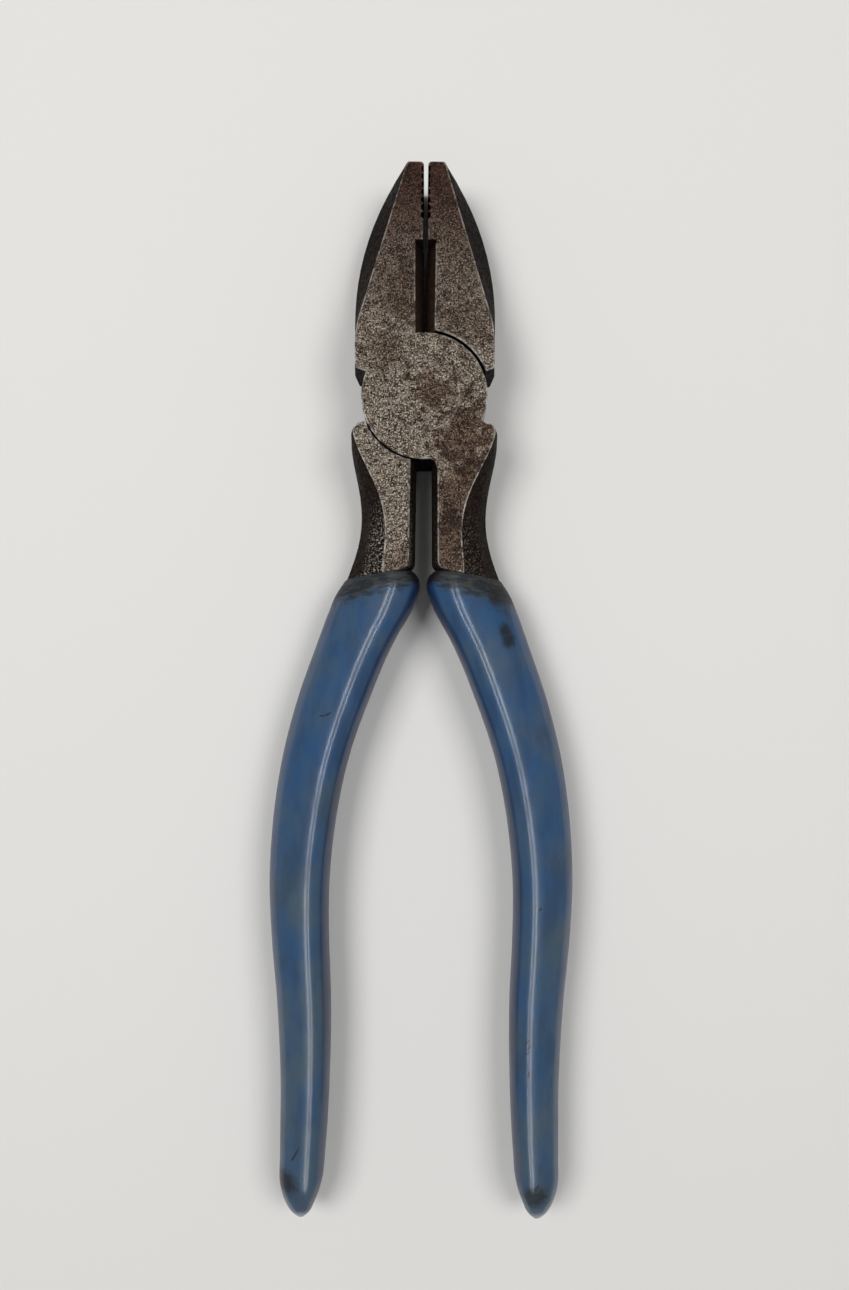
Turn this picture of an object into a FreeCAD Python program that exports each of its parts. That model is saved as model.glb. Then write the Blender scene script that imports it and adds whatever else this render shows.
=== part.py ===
"""Nine-inch high-leverage lineman's pliers: two lapped jaw halves, one pivot rivet, two dipped grips.

Millimetres. +Z runs up the pivot, +Y towards the nose and +X to the right. The origin is where the
pivot axis meets the head's lower flat face. Both halves are drawn shut and then swung apart by the
resting opening. One STEP file is written to parts/ for each solid.
"""
import FreeCAD, Part
import math
import os

# Overall sizes
OVERALL_LENGTH = 238.0          # nose to grip ends
NOSE_REACH = 51.8               # pivot axis to nose
HEAD_THICKNESS = 15.9           # between the two ground flat faces
REST_OPENING = 1.0              # degrees between the jaws as the pliers lie
EDGE_BREAK = 0.3                # worn bevel round the ground flat faces
CUT_MARGIN = 1.0                # how far a cutter runs past what it cuts

# Lap joint
DISC_RADIUS = 14.0
LAP_GAP = 0.3                   # between the two lap faces
JAW_RELIEF_GAP = 0.65           # a lap disc to the jaw it swings in
TANG_RELIEF_GAP = 0.4           # a lap disc to the tang it swings in
JAW_SHOULDER = 1.2              # steel outside a jaw's relief, at the shoulder
TANG_SHOULDER_WALL = 1.35       # steel outside a tang's relief, at the shoulder
JAW_STOP_ANGLE = 22.5           # degrees from the X axis to a jaw's shoulder
TANG_STOP_ANGLE = 23.2          # degrees from the X axis to a tang's shoulder
WEB_FILLET = 3.0                # length of the rounding where a tang's inner edge meets its own disc
WEB_FILLET_END = 0.9            # centre plane to where that rounding ends on the disc

# Pivot rivet
RIVET_RADIUS = 5.2
RIVET_HEAD_RADIUS = 7.7
RIVET_HEAD_DEPTH = 2.4
RIVET_RUNNING_GAP = 0.06        # in the half that turns on it
RIVET_EDGE_BREAK = 0.12         # bevel round each head and round the mouth of its hole

# Jaws
FLANK_SET_IN = 0.47             # flat face's edge to the widest line, beside the pivot
FLAT_FACE_STRAIGHT = 1.0        # lap disc's edge to where the flat face turns in towards the nose
FLANK_STRAIGHT = 4.4            # lap disc's edge to where the widest line starts to curve in
BEND_LENGTH = 3.5               # length over which the flat face's edge turns
FLAT_FACE_TIP_X = 4.7           # flat face's outer edge, just behind the nose
NOSE_HALF_WIDTH = 6.9           # widest line, at the nose
NOSE_CORNER = 2.9               # length of the rounding at the nose's outer corner
NOSE_CORNER_WIDTH = 1.3         # and its width
TIP_ROUND = 1.0                 # rounding at the nose's inner corner
TIP_GAP = 0.03                  # centre plane to the nose's gripping land, shut
GRIPPING_LENGTH = 17.3          # nose to the start of the gripping face
GRIPPING_RELIEF = 0.27          # how far the gripping face backs away behind the nose
TIP_LAND = 4.5                  # length of the nose's gripping land

# Teeth across the gripping faces
TOOTH_COUNT = 7
TOOTH_PITCH = 1.7
TOOTH_DEPTH = 0.6
TOOTH_RADIUS = 0.86
TOOTH_END_LAND = 0.9            # nose to the edge of the first scallop

# Side-cutting knives
KNIFE_GAP = 0.05                # centre plane to a knife's edge, shut
KNIFE_WINDOW = 2.0              # centre plane to the window's side, at the flat face
KNIFE_WALL = 1.6                # height of the window's upright side
KNIFE_LAND = 0.3                # height of a knife's edge

# Tangs, between the joint and the grips
TANG_SHOULDER_ROUND = 1.3       # rounding at the shoulder's corner
TANG_SIDE_STAND = 0.85          # flat face's shoulder corner to the widest line
TANG_INNER_FACE = 2.86          # centre plane to the inner edge, at the flat face
TANG_INNER_MID = 1.6            # centre plane to the inner edge, halfway down
TANG_TOE_FACE = 5.0             # centre plane to the inner edge at the collar, at the flat face
TANG_TOE_MID = 3.6              # and halfway down
TANG_TOE_LENGTH = 3.2           # length over which the inner edge rounds off above the collar
TANG_TOE_CORNER = 1.07          # from the collar up to the corner that is rounded off
TANG_ROOT = 9.8                 # pivot axis to where the inner edge starts, inside its own disc
TANG_RUN_ON = 2.0               # how far the outlines run on past the collar before they are cut
TANG_SIDE_HEIGHT = 0.62         # level of the extra side outline, as a part of half the thickness
TANG_SIDE_BULGE = 0.62          # how far out that outline stands, 0 at the face and 1 halfway down

# Poles of a tang's outer edge, at even steps from shoulder to collar, as parts of the shoulder's
# distance from the centre plane: at the flat face, then halfway down.
TANG_EDGE = [
    (0.914, 1.064),
    (0.234, 0.696),
    (0.618, 0.907),
    (0.546, 1.105),
]

# Handles, inside and outside the dip
COLLAR_Y = 39.35                # pivot axis to the top of the dip, at its middle
COLLAR_SLANT = 0.167            # how far the dip's top edge drops outwards, for each millimetre
SLANT_LENGTH = 0.1              # part of the way down by which the sections are square again
DIP_WALL = 1.45
DIP_EDGE = 0.35                 # the dip's wall at its top edge
DIP_END = 4.5                   # dip past the end of the steel
DIP_BELOW_FACE = 0.15           # flat face's level down to the dip at its thickest
HANDLE_NEAREST = 0.38           # centre plane to a handle's inner edge where they come nearest
HANDLE_SPREAD = 20.05           # centre plane to a handle's inner edge where they bow out
GRIP_WIDTH = 19.4               # widest, just below the collar
CORE_START_LENGTH = 6.3         # from the collar back to where the round-sided core starts
CORE_START_WIDTH = 9.6
CORE_START_THICKNESS = 12.4
CORE_START_SET_IN = 0.9         # core's inner edge inside the tang's, at its start
CORE_END_WIDTH = 0.82           # core's last section, as a part of the one before
CORE_END_STEP = 0.025           # least part of the way down between the core's last two sections
RIDGE_TOP = 0.34                # how far inwards a section's ridge stands, as a part of half its width
RIDGE_END = 0.14
POWER_TOP = 2.1                 # 2 makes a section an ellipse and larger makes it squarer
POWER_END = 2.6
SECTION_POINTS = 20
COLLAR_STATIONS = 3             # steps of the table below that make up the collar

# How the handle changes from collar to end: each row is part of the way down, then the inner edge
# (0 where the handles come nearest and 1 where they bow out), then the width and the thickness as
# parts of the largest.
HANDLE_STATIONS = [
    (0.000, 0.105, 0.771, 0.974),
    (0.009, 0.029, 0.897, 0.994),
    (0.021, 0.000, 0.979, 1.000),
    (0.050, 0.062, 1.000, 0.987),
    (0.100, 0.278, 0.902, 0.962),
    (0.190, 0.560, 0.845, 0.936),
    (0.280, 0.786, 0.784, 0.910),
    (0.380, 0.934, 0.737, 0.885),
    (0.475, 1.000, 0.701, 0.865),
    (0.570, 0.995, 0.665, 0.846),
    (0.660, 0.962, 0.629, 0.821),
    (0.785, 0.962, 0.572, 0.782),
    (0.900, 1.000, 0.526, 0.718),
    (0.945, 1.033, 0.485, 0.654),
    (0.970, 1.097, 0.366, 0.506),
    (0.987, 1.155, 0.237, 0.333),
    (1.000, 1.241, 0.062, 0.090),
]

# Sizes that follow from the ones above
HEAD_HALF_WIDTH = DISC_RADIUS + JAW_RELIEF_GAP + JAW_SHOULDER
TANG_SHOULDER = DISC_RADIUS + TANG_RELIEF_GAP + TANG_SHOULDER_WALL
FLAT_FACE_BEND = DISC_RADIUS + FLAT_FACE_STRAIGHT
FLANK_RADIUS_START = DISC_RADIUS + FLANK_STRAIGHT
GRIPPING_START = NOSE_REACH - GRIPPING_LENGTH
GRIP_THICKNESS = HEAD_THICKNESS - 2.0 * DIP_BELOW_FACE
HALF = HEAD_THICKNESS / 2.0
HANDLE_REACH = OVERALL_LENGTH - NOSE_REACH
DIP_LENGTH = HANDLE_REACH - COLLAR_Y
UP = FreeCAD.Vector(0, 0, 1)
ALONG = FreeCAD.Vector(0, 1, 0)
ORIGIN = FreeCAD.Vector(0, 0, 0)


def mix(face_value, middle_value, share):
    """The value a share of the way from the flat face (0) to the mid-plane (1)."""
    return face_value + (middle_value - face_value) * share


def outline(pieces, height, side):
    """A closed wire at one height; each piece is the poles of a line or curve, and side flips X."""
    edges = []
    for poles in pieces:
        points = [FreeCAD.Vector(side * x, y, height) for x, y in poles]
        curve = Part.BezierCurve()
        curve.setPoles(points)
        edges.append(curve.toShape())
    return Part.Wire(edges)


def slab(pieces_at, side_levels, side):
    """A forged slab through outlines at several heights, with the flat faces' edges broken.

    Each side level is (height, share); an outline also takes how far it is set in by the bevel.
    """
    levels = [(0.0, 0.0, EDGE_BREAK), (EDGE_BREAK, 0.0, 0.0)]
    for height, share in side_levels:
        levels.append((height, share, 0.0))
    levels.append((HEAD_THICKNESS - EDGE_BREAK, 0.0, 0.0))
    levels.append((HEAD_THICKNESS, 0.0, EDGE_BREAK))
    wires = []
    for height, share, inset in levels:
        wires.append(outline(pieces_at(share, inset), height, side))
    return Part.makeLoft(wires, True, True)


def stop_line(angle, inset):
    """Where a radial stop line starts and how it climbs, moved sideways by an inset."""
    climb = math.tan(math.radians(angle))
    shift = inset / math.cos(math.radians(angle))
    return climb, shift


def jaw_pieces(share, inset):
    """The jaw's outline from the pivot round by its shoulder, flank, nose and inner edge."""
    climb, shift = stop_line(JAW_STOP_ANGLE, inset)
    flank_face = HEAD_HALF_WIDTH - FLANK_SET_IN - inset
    face_tip = FLAT_FACE_TIP_X - inset
    nose = NOSE_REACH - inset
    flank = mix(flank_face, HEAD_HALF_WIDTH, share)
    apex = (inset, inset * climb + shift)
    shoulder = (flank, flank * climb + shift)
    flank_top = (flank, FLAT_FACE_BEND - BEND_LENGTH)
    bend_pole = (flank, FLAT_FACE_BEND)

    # The flat face narrows along a straight line from its bend to its tip.
    nose_back = nose - NOSE_CORNER
    slope = (flank_face - face_tip) / (nose_back - FLAT_FACE_BEND)
    bend_end_face = flank_face - slope * (FLANK_RADIUS_START - FLAT_FACE_BEND)
    bend_end = (mix(bend_end_face, HEAD_HALF_WIDTH, share), FLANK_RADIUS_START)

    corner_back_y = mix(nose_back, nose - NOSE_CORNER / 2.0, share)
    corner_back = (mix(face_tip, NOSE_HALF_WIDTH, share), corner_back_y)
    middle_of_face = ((bend_end_face + face_tip) / 2.0, (FLANK_RADIUS_START + nose_back) / 2.0)
    bow = (mix(middle_of_face[0], HEAD_HALF_WIDTH, share),
           mix(middle_of_face[1], (FLANK_RADIUS_START + nose) / 2.0, share))
    corner_pole = (corner_back[0] - NOSE_CORNER_WIDTH / 2.0, nose)
    corner_front = (corner_back[0] - NOSE_CORNER_WIDTH, nose)

    land = TIP_GAP + inset
    tip_outer = (land + TIP_ROUND, nose)
    tip_pole = (land, nose)
    tip_inner = (land, nose - TIP_ROUND)
    land_end = (land, NOSE_REACH - TIP_LAND)
    relief_end = (land + GRIPPING_RELIEF, GRIPPING_START)
    knife_start = (KNIFE_GAP + inset, GRIPPING_START)
    return [
        [apex, shoulder],
        [shoulder, flank_top],
        [flank_top, bend_pole, bend_end],
        [bend_end, bow, corner_back],
        [corner_back, corner_pole, corner_front],
        [corner_front, tip_outer],
        [tip_outer, tip_pole, tip_inner],
        [tip_inner, land_end],
        [land_end, relief_end],
        [relief_end, knife_start],
        [knife_start, apex],
    ]


def tang_pieces(share, inset):
    """The tang's outline from the pivot round by its shoulder, waist, lower end and inner edge."""
    drop, shift = stop_line(TANG_STOP_ANGLE, inset)
    side = mix(TANG_SHOULDER - inset, TANG_SHOULDER + TANG_SIDE_STAND, share)
    apex = (inset, -inset * drop - shift)
    corner_x = side - TANG_SHOULDER_ROUND * math.cos(math.radians(TANG_STOP_ANGLE))
    shoulder = (corner_x, -corner_x * drop - shift)
    shoulder_pole = (side, -side * drop - shift)
    edge = [(side, shoulder_pole[1] - TANG_SHOULDER_ROUND)]

    end_y = -COLLAR_Y - TANG_RUN_ON
    step = (end_y - edge[0][1]) / len(TANG_EDGE)
    for index, (face_part, middle_part) in enumerate(TANG_EDGE):
        x = mix(face_part * TANG_SHOULDER - inset, middle_part * TANG_SHOULDER, share)
        edge.append((x, edge[0][1] + step * (index + 1)))

    inner = mix(TANG_INNER_FACE + inset, TANG_INNER_MID, share)
    root = (inner, -TANG_ROOT)
    toe_x = mix(TANG_TOE_FACE + inset, TANG_TOE_MID, share)
    toe_start = (inner, -COLLAR_Y + TANG_TOE_LENGTH)
    toe_pole = (inner, -COLLAR_Y + TANG_TOE_CORNER)
    toe = (toe_x, -COLLAR_Y + COLLAR_SLANT * toe_x)
    run_on = (toe_x, end_y)
    return [
        [apex, shoulder],
        [shoulder, shoulder_pole, edge[0]],
        edge,
        [edge[-1], run_on],
        [run_on, toe],
        [toe, toe_pole, toe_start],
        [toe_start, root],
        [root, apex],
    ]


def section(along, middle, half_width, half_height):
    """A rounded section of the handle, part of the way down, with its ridge towards the inside."""
    power = mix(POWER_TOP, POWER_END, along)
    ridge = mix(RIDGE_TOP, RIDGE_END, along)
    slant = COLLAR_SLANT * max(0.0, 1.0 - along / SLANT_LENGTH)
    points = []
    for index in range(SECTION_POINTS):
        angle = 2.0 * math.pi * index / SECTION_POINTS
        across = math.copysign(abs(math.cos(angle)) ** (2.0 / power), math.cos(angle))
        upward = math.copysign(abs(math.sin(angle)) ** (2.0 / power), math.sin(angle))
        sideways = half_width * (across + ridge * (1.0 - across * across))
        y = -COLLAR_Y - along * DIP_LENGTH + slant * sideways
        points.append(FreeCAD.Vector(sideways - middle, y, HALF + half_height * upward))
    curve = Part.BSplineCurve()
    curve.interpolate(Points=points, PeriodicFlag=True)
    return Part.Wire([curve.toShape()])


def handle_sizes(station):
    """The middle line, half the width and half the thickness of the dip at one station."""
    inner = mix(HANDLE_NEAREST, HANDLE_SPREAD, station[1])
    half_width = station[2] * GRIP_WIDTH / 2.0
    half_height = station[3] * GRIP_THICKNESS / 2.0
    return inner + half_width, half_width, half_height


def grip_section(station):
    """A section of the dip's outside."""
    return section(station[0], *handle_sizes(station))


def handle_solid(sections, ruled_count):
    """A solid through the sections, straight between the first few and smooth from there on."""
    collar = Part.makeLoft(sections[:ruled_count + 1], True, True)
    body = Part.makeLoft(sections[ruled_count:], True, False)
    return collar.fuse(body)


def steel_core():
    """The steel inside the dip, from inside the forged tang to short of the grip's end."""
    half_start = CORE_START_WIDTH / 2.0
    start_middle = TANG_INNER_MID + CORE_START_SET_IN + half_start
    back = -CORE_START_LENGTH / DIP_LENGTH
    sections = [section(back, start_middle, half_start, CORE_START_THICKNESS / 2.0)]
    steel_end = 1.0 - DIP_END / DIP_LENGTH
    walls = [DIP_EDGE, mix(DIP_EDGE, DIP_WALL, 0.5)]
    for station in HANDLE_STATIONS:
        if station[0] > steel_end - CORE_END_STEP:
            break
        middle, half_width, half_height = handle_sizes(station)
        wall = walls.pop(0) if walls else DIP_WALL
        sections.append(section(station[0], middle, half_width - wall, half_height - wall))
    end_sizes = (half_width - wall) * CORE_END_WIDTH, (half_height - wall) * CORE_END_WIDTH
    sections.append(section(steel_end, middle, *end_sizes))
    return handle_solid(sections, COLLAR_STATIONS + 1)


def below_collar():
    """Everything past the slanted line of the dip's top edge."""
    reach = OVERALL_LENGTH
    box = Part.makeBox(2.0 * reach, reach, 2.0 * reach, FreeCAD.Vector(-reach, -reach, -reach))
    box.rotate(ORIGIN, UP, math.degrees(math.atan(COLLAR_SLANT)))
    middle = handle_sizes(HANDLE_STATIONS[0])[0]
    box.translate(FreeCAD.Vector(-middle, -COLLAR_Y, 0))
    return box


def knife_cutter():
    """What is taken from between the jaws so that each has a knife edge halfway down."""
    low = HALF - KNIFE_LAND / 2.0
    corners = [
        (-CUT_MARGIN, -CUT_MARGIN),
        (KNIFE_WINDOW + EDGE_BREAK, -CUT_MARGIN),
        (KNIFE_WINDOW + EDGE_BREAK, 0.0),
        (KNIFE_WINDOW, EDGE_BREAK),
        (KNIFE_WINDOW, KNIFE_WALL),
        (KNIFE_GAP, low),
        (KNIFE_GAP, HEAD_THICKNESS - low),
        (KNIFE_WINDOW, HEAD_THICKNESS - KNIFE_WALL),
        (KNIFE_WINDOW, HEAD_THICKNESS - EDGE_BREAK),
        (KNIFE_WINDOW + EDGE_BREAK, HEAD_THICKNESS),
        (KNIFE_WINDOW + EDGE_BREAK, HEAD_THICKNESS + CUT_MARGIN),
        (-CUT_MARGIN, HEAD_THICKNESS + CUT_MARGIN),
        (-CUT_MARGIN, -CUT_MARGIN),
    ]
    face = Part.Face(Part.makePolygon([FreeCAD.Vector(x, 0, z) for x, z in corners]))
    return face.extrude(ALONG * GRIPPING_START)


def tooth_cutters():
    """The upright scallops across one gripping face."""
    cutters = []
    for index in range(TOOTH_COUNT):
        y = NOSE_REACH - TOOTH_END_LAND - TOOTH_PITCH * (index + 0.5)
        behind_land = max(0.0, NOSE_REACH - TIP_LAND - y)
        relief_length = NOSE_REACH - TIP_LAND - GRIPPING_START
        face_x = TIP_GAP + GRIPPING_RELIEF * behind_land / relief_length
        centre = FreeCAD.Vector(face_x + TOOTH_DEPTH - TOOTH_RADIUS, y, -CUT_MARGIN)
        cutters.append(Part.makeCylinder(TOOTH_RADIUS, HEAD_THICKNESS + 2.0 * CUT_MARGIN, centre, UP))
    return cutters


def web_fillet(disc_top):
    """The rounded web where the tang's inner edge runs into its own lap disc."""
    x = TANG_INNER_FACE + TANG_RELIEF_GAP
    reach = DISC_RADIUS + WEB_FILLET
    start = (TANG_INNER_FACE, -reach)
    pole = (TANG_INNER_FACE, -DISC_RADIUS)
    end = (WEB_FILLET_END, -DISC_RADIUS)
    inside = (x, -DISC_RADIUS + WEB_FILLET)
    pieces = [[(x, -reach), start], [start, pole, end], [end, inside], [inside, (x, -reach)]]
    return Part.Face(outline(pieces, 0.0, -1)).extrude(UP * disc_top)


def turned(profile):
    """A solid of revolution about the pivot, from (radius, height) points."""
    points = [FreeCAD.Vector(radius, 0, height) for radius, height in profile]
    points.append(points[0])
    return Part.Face(Part.makePolygon(points)).revolve(ORIGIN, UP, 360)


def rivet_solid(gap, bevel):
    """The rivet, whose heads are flush with both faces, or its hole.

    A hole has a gap round the rivet; its bevel opens outwards, where a head's goes inwards.
    """
    shank = RIVET_RADIUS + gap
    head = RIVET_HEAD_RADIUS + gap
    rise = abs(bevel)
    return turned([
        (0, 0),
        (head - bevel, 0),
        (head, rise),
        (shank, RIVET_HEAD_DEPTH),
        (shank, HEAD_THICKNESS - RIVET_HEAD_DEPTH),
        (head, HEAD_THICKNESS - rise),
        (head - bevel, HEAD_THICKNESS),
        (0, HEAD_THICKNESS),
    ])


def lap_disc(top):
    """The lower lap disc, with the edge of its flat face broken."""
    return turned([
        (0, 0),
        (DISC_RADIUS - EDGE_BREAK, 0),
        (DISC_RADIUS, EDGE_BREAK),
        (DISC_RADIUS, top),
        (0, top),
    ])


def lap_relief(gap, bottom):
    """The round space above the lap plane in which the other half's disc swings."""
    radius = DISC_RADIUS + gap
    return turned([
        (0, bottom),
        (radius, bottom),
        (radius, HEAD_THICKNESS - EDGE_BREAK),
        (radius + EDGE_BREAK, HEAD_THICKNESS),
        (radius + EDGE_BREAK, HEAD_THICKNESS + CUT_MARGIN),
        (0, HEAD_THICKNESS + CUT_MARGIN),
    ])


def forged_half():
    """The half whose jaw is on the right, with the lower lap disc and the left-hand tang."""
    disc_top = HALF - LAP_GAP / 2.0
    jaw = slab(jaw_pieces, [(HALF, 1.0)], 1)
    jaw = jaw.cut(knife_cutter())
    for cutter in tooth_cutters():
        jaw = jaw.cut(cutter)

    rise = TANG_SIDE_HEIGHT * HALF
    side_levels = [(HALF - rise, TANG_SIDE_BULGE), (HALF, 1.0), (HALF + rise, TANG_SIDE_BULGE)]
    tang = slab(tang_pieces, side_levels, -1).cut(below_collar())

    # Above the lap plane the other half's disc swings inside this half's jaw and tang.
    jaw = jaw.cut(lap_relief(JAW_RELIEF_GAP, disc_top))
    tang = tang.cut(lap_relief(TANG_RELIEF_GAP, disc_top))
    tang = tang.fuse(steel_core())
    half = lap_disc(disc_top).fuse([jaw, tang, web_fillet(disc_top)])
    return half.removeSplitter()


def dipped_grip(half):
    """The plastic dip over the left-hand tang, open at the collar and closed at the end."""
    outside = handle_solid([grip_section(station) for station in HANDLE_STATIONS], COLLAR_STATIONS)
    return outside.cut(half)


def turned_over(shape):
    """The same piece turned over about the long axis halfway up the head."""
    other = shape.copy()
    other.rotate(FreeCAD.Vector(0, 0, HALF), ALONG, 180)
    return other


def swung(shape, angle):
    """The piece swung about the pivot."""
    moved = shape.copy()
    moved.rotate(ORIGIN, UP, angle)
    return moved


def build():
    """Every solid, by the name of its node."""
    half = forged_half()
    grip = dipped_grip(half)
    fixed_half = half.cut(rivet_solid(0.0, -RIVET_EDGE_BREAK))
    turning_half = turned_over(half).cut(rivet_solid(RIVET_RUNNING_GAP, -RIVET_EDGE_BREAK))
    swing = REST_OPENING / 2.0
    return {
        "right_jaw_half": swung(fixed_half, -swing),
        "left_jaw_half": swung(turning_half, swing),
        "pivot_rivet": rivet_solid(0.0, RIVET_EDGE_BREAK),
        "left_handle_grip": swung(grip, -swing),
        "right_handle_grip": swung(turned_over(grip), swing),
    }


def main():
    """Write one STEP file for each solid."""
    os.makedirs("parts", exist_ok=True)
    for name, shape in build().items():
        solid = shape.Solids[0]
        print(name, "solids", len(shape.Solids), "valid", shape.isValid(), "volume", round(solid.Volume, 1),
              "box", [round(value, 2) for value in (solid.BoundBox.XMin, solid.BoundBox.XMax,
                                                    solid.BoundBox.YMin, solid.BoundBox.YMax,
                                                    solid.BoundBox.ZMin, solid.BoundBox.ZMax)])
        solid.exportStep("parts/" + name + ".step")


main()
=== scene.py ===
"""Nine-inch lineman's pliers: worn steel and dipped handles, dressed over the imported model.

Everything is in metres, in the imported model's own frame: the pivot axis is the Z axis, the nose
points along +Y and the pliers rest on Z = 0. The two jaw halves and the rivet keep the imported
model's shape and get ground, bevelled and forged finishes; the two dips are made here as closed
sleeves with a rolled collar.
"""
import logging
import math
from dataclasses import dataclass, field
from enum import Enum
from typing import Union

import bmesh
import bpy
import numpy as np
from mathutils import Matrix, Vector


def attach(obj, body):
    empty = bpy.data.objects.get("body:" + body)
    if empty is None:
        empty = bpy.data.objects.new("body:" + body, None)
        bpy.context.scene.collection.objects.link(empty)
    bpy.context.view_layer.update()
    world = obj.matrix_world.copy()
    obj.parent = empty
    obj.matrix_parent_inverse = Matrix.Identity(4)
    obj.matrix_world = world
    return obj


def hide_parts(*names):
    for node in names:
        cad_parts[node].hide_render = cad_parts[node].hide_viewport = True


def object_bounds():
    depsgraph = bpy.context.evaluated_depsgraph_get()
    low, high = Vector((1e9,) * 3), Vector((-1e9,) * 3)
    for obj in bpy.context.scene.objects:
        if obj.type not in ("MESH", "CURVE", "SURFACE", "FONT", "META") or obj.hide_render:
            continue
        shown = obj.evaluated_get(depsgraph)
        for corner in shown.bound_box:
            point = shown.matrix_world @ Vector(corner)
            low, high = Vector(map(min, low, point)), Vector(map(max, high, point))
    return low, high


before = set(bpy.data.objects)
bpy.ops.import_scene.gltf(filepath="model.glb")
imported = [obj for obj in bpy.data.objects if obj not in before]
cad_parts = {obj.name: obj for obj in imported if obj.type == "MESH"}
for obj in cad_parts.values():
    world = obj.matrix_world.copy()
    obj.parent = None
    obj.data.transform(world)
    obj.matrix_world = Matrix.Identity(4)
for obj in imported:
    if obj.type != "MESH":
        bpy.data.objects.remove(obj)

CAD_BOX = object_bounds()
MM = 0.001
HEAD_THICKNESS = CAD_BOX[1][2] - CAD_BOX[0][2]

Colour = tuple[float, float, float]
Point = tuple[float, float, float]
Edges = tuple[float, float]     # where a mask begins, and where it is full
Feed = Union[bpy.types.NodeSocket, float, Colour]

log = logging.getLogger("pliers")


class Side(Enum):
    """Which side of the pivot a handle lies on, as the sign of its X."""

    LEFT = -1
    RIGHT = 1


class Zone(Enum):
    """How a face of a jaw half was left by its maker, as its material's place on the piece."""

    GROUND = 0
    BEVEL = 1
    FORGED = 2
    KNIFE = 3


# ------------------------------------------------------------------ shader building


class Graph:
    """A shader node tree wired with short calls."""

    def __init__(self, tree: bpy.types.NodeTree) -> None:
        """Takes a tree to wire.

        Args:
            tree: the material's or group's node tree.
        """
        self.tree = tree

    def feed(self, socket: bpy.types.NodeSocket, value: Feed) -> None:
        """Links a socket to another socket, or sets its value.

        Args:
            socket: the input to fill.
            value: an output socket, a number or a colour.
        """
        if isinstance(value, bpy.types.NodeSocket):
            self.tree.links.new(value, socket)
        elif isinstance(value, tuple) and socket.type == "RGBA":
            socket.default_value = (*value, 1.0)
        else:
            socket.default_value = value

    def add(self, kind: str, inputs: dict, **settings) -> bpy.types.Node:
        """Adds a node.

        Args:
            kind: the node's type name, without its ShaderNode prefix.
            inputs: values or sockets by input name or number.
            **settings: properties of the node itself.

        Returns:
            The new node.
        """
        node = self.tree.nodes.new("ShaderNode" + kind)
        for name, value in settings.items():
            setattr(node, name, value)
        for key, value in inputs.items():
            self.feed(node.inputs[key], value)
        return node

    def maths(self, operation: str, first: Feed, second: Feed = 0.0,
              clamp: bool = False) -> bpy.types.NodeSocket:
        """The result of one sum on two values."""
        return self.add("Math", {0: first, 1: second}, operation=operation, use_clamp=clamp).outputs[0]

    def smooth(self, value: Feed, start: float, end: float) -> bpy.types.NodeSocket:
        """A value eased from 0 at start to 1 at end; start may lie above end."""
        inputs = {"Value": value, "From Min": start, "From Max": end}
        return self.add("MapRange", inputs, interpolation_type="SMOOTHSTEP").outputs[0]

    def noise(self, vector: Feed, scale: Feed, detail: float, roughness: float) -> bpy.types.NodeSocket:
        """Fractal noise of a given number of features to the metre, 0 to 1."""
        inputs = {"Vector": vector, "Scale": scale, "Detail": detail, "Roughness": roughness}
        return self.add("TexNoise", inputs).outputs["Fac"]

    def blend(self, share: Feed, first: Feed, second: Feed, how: str = "MIX") -> bpy.types.NodeSocket:
        """Two colours mixed by a share."""
        return self.add("Mix", {0: share, 6: first, 7: second}, data_type="RGBA", blend_type=how).outputs[2]

    def here(self) -> bpy.types.NodeSocket:
        """The place on the object, in metres."""
        return self.add("TexCoord", {}).outputs["Object"]

    def use(self, group: bpy.types.NodeTree, **values: Feed) -> bpy.types.Node:
        """Places a node group with its own values.

        Args:
            group: the node group.
            **values: a value or socket for each of its inputs, by name.

        Returns:
            The group's node.
        """
        node = self.tree.nodes.new("ShaderNodeGroup")
        node.node_tree = group
        for name, value in values.items():
            self.feed(node.inputs[name], value)
        return node


def new_group(name: str, inputs: dict[str, str], outputs: dict[str, str]) -> tuple[Graph, dict, dict]:
    """Starts a shader node group.

    Args:
        name: the group's name.
        inputs: socket kind (Vector, Float or Color) by input name.
        outputs: the same for its outputs.

    Returns:
        The graph, its input sockets by name and its output sockets by name.
    """
    tree = bpy.data.node_groups.new(name, "ShaderNodeTree")
    for label, kind in inputs.items():
        tree.interface.new_socket(label, in_out="INPUT", socket_type="NodeSocket" + kind)
    for label, kind in outputs.items():
        tree.interface.new_socket(label, in_out="OUTPUT", socket_type="NodeSocket" + kind)
    entry = tree.nodes.new("NodeGroupInput")
    leave = tree.nodes.new("NodeGroupOutput")
    ins = {label: entry.outputs[label] for label in inputs}
    outs = {label: leave.inputs[label] for label in outputs}
    return Graph(tree), ins, outs


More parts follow.
